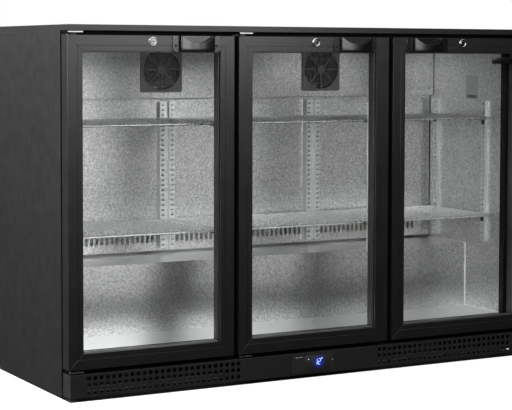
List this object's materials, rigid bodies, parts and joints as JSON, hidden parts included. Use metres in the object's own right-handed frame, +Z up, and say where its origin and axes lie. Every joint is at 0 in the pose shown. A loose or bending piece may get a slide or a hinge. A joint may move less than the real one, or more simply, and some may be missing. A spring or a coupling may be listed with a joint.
{
  "type": "under counter fridge",
  "caption": "Glass-door back-bar bottle cooler with black casing, cup handles, door locks, wire shelves, perforated kick plate with a touch controller and a fan-cooled machine space.",
  "frame": {"origin": "centre of the footprint, on the floor", "axes": "+X along the front to the right, seen from the front; -Y out of the doors; +Z up"},
  "size_m": [1.35, 0.535, 0.895],
  "materials": {
    "black_casing": "satin",
    "galvanised_sheet": "matte",
    "zinc_plate": "satin",
    "black_plastic": "matte",
    "gloss_black_plastic": "gloss",
    "insulating_foam": "matte",
    "stucco_aluminium": "satin",
    "plain_aluminium": "satin",
    "coil_metal": "satin",
    "copper": "satin",
    "coated_wire": "satin",
    "light_diffuser": "satin",
    "clear_glass": "polished",
    "gasket_rubber": "matte",
    "lock_chrome": "polished"
  },
  "bodies": {
    "cabinet": {"worktop": "black_casing", "side_panel_left": "black_casing", "side_panel_right": "black_casing", "rear_panel": "galvanised_sheet", "base_pan": "galvanised_sheet", "levelling_feet": "black_plastic", "foam_insulation": "insulating_foam", "machine_space_liner": "galvanised_sheet", "kick_plate": "black_casing", "controller": "black_plastic", "hinge_brackets": "zinc_plate", "rear_grille": "galvanised_sheet", "power_inlet": "black_plastic", "cabinet_screws": "zinc_plate", "inner_liner": "stucco_aluminium", "floor_liner": "plain_aluminium", "hump_cover": "stucco_aluminium", "duct_panel": "stucco_aluminium", "evaporator_cover": "plain_aluminium", "evaporator_fan_housings": "black_plastic", "front_frame": "black_casing", "mullions": "black_casing", "shelf_tracks": "plain_aluminium", "shelf_clips": "black_plastic", "led_strip": "light_diffuser", "evaporator_coil": "coil_metal", "condenser": "coil_metal", "compressor": "black_casing", "refrigerant_pipes": "copper", "drain_tray": "black_plastic"},
    "door_left": {"door_left_frame": "black_casing", "door_left_glass": "clear_glass", "door_left_gasket": "gasket_rubber", "door_left_handle": "gloss_black_plastic", "door_left_fittings": "zinc_plate", "door_left_lock_barrel": "lock_chrome"},
    "lock_left": {"door_left_lock_plug": "lock_chrome"},
    "door_middle": {"door_middle_frame": "black_casing", "door_middle_glass": "clear_glass", "door_middle_gasket": "gasket_rubber", "door_middle_handle": "gloss_black_plastic", "door_middle_fittings": "zinc_plate", "door_middle_lock_barrel": "lock_chrome"},
    "lock_middle": {"door_middle_lock_plug": "lock_chrome"},
    "door_right": {"door_right_frame": "black_casing", "door_right_glass": "clear_glass", "door_right_gasket": "gasket_rubber", "door_right_handle": "gloss_black_plastic", "door_right_fittings": "zinc_plate", "door_right_lock_barrel": "lock_chrome"},
    "lock_right": {"door_right_lock_plug": "lock_chrome"},
    "shelf_lower_left": {"shelf_lower_left": "coated_wire"},
    "shelf_lower_middle": {"shelf_lower_middle": "coated_wire"},
    "shelf_lower_right": {"shelf_lower_right": "coated_wire"},
    "shelf_upper_left": {"shelf_upper_left": "coated_wire"},
    "shelf_upper_middle": {"shelf_upper_middle": "coated_wire"},
    "shelf_upper_right": {"shelf_upper_right": "coated_wire"},
    "evaporator_fan_left": {"evaporator_fan_left": "black_plastic"},
    "evaporator_fan_right": {"evaporator_fan_right": "black_plastic"},
    "condenser_fan": {"condenser_fan": "black_plastic"}
  },
  "joints": [
    {"name": "door_left_hinge", "type": "hinge", "parent": "cabinet", "child": "door_left", "pos_m": [-0.665, -0.2335, 0.473], "axis": [0, 0, -1], "range_deg": [0, 110]},
    {"name": "door_middle_hinge", "type": "hinge", "parent": "cabinet", "child": "door_middle", "pos_m": [-0.2105, -0.2335, 0.473], "axis": [0, 0, -1], "range_deg": [0, 110]},
    {"name": "door_right_hinge", "type": "hinge", "parent": "cabinet", "child": "door_right", "pos_m": [0.665, -0.2335, 0.473], "axis": [0, 0, 1], "range_deg": [0, 110]},
    {"name": "lock_left_turn", "type": "hinge", "parent": "door_left", "child": "lock_left", "pos_m": [-0.4545, -0.2375, 0.856], "axis": [0, -1, 0], "range_deg": [0, 90]},
    {"name": "lock_middle_turn", "type": "hinge", "parent": "door_middle", "child": "lock_middle", "pos_m": [0, -0.2375, 0.856], "axis": [0, -1, 0], "range_deg": [0, 90]},
    {"name": "lock_right_turn", "type": "hinge", "parent": "door_right", "child": "lock_right", "pos_m": [0.4545, -0.2375, 0.856], "axis": [0, -1, 0], "range_deg": [0, 90]},
    {"name": "shelf_lower_left_lift", "type": "slide", "parent": "cabinet", "child": "shelf_lower_left", "axis": [0, 0, 1], "range_m": [0, 0.012]},
    {"name": "shelf_lower_middle_lift", "type": "slide", "parent": "cabinet", "child": "shelf_lower_middle", "axis": [0, 0, 1], "range_m": [0, 0.012]},
    {"name": "shelf_lower_right_lift", "type": "slide", "parent": "cabinet", "child": "shelf_lower_right", "axis": [0, 0, 1], "range_m": [0, 0.012]},
    {"name": "shelf_upper_left_lift", "type": "slide", "parent": "cabinet", "child": "shelf_upper_left", "axis": [0, 0, 1], "range_m": [0, 0.012]},
    {"name": "shelf_upper_middle_lift", "type": "slide", "parent": "cabinet", "child": "shelf_upper_middle", "axis": [0, 0, 1], "range_m": [0, 0.012]},
    {"name": "shelf_upper_right_lift", "type": "slide", "parent": "cabinet", "child": "shelf_upper_right", "axis": [0, 0, 1], "range_m": [0, 0.012]},
    {"name": "evaporator_fan_left_spin", "type": "hinge", "parent": "cabinet", "child": "evaporator_fan_left", "pos_m": [-0.248, 0.1575, 0.784], "axis": [0, 1, 0], "continuous": true},
    {"name": "evaporator_fan_right_spin", "type": "hinge", "parent": "cabinet", "child": "evaporator_fan_right", "pos_m": [0.248, 0.1575, 0.784], "axis": [0, 1, 0], "continuous": true},
    {"name": "condenser_fan_spin", "type": "hinge", "parent": "cabinet", "child": "condenser_fan", "pos_m": [-0.2, 0.118, 0.126], "axis": [0, 1, 0], "continuous": true}
  ]
}
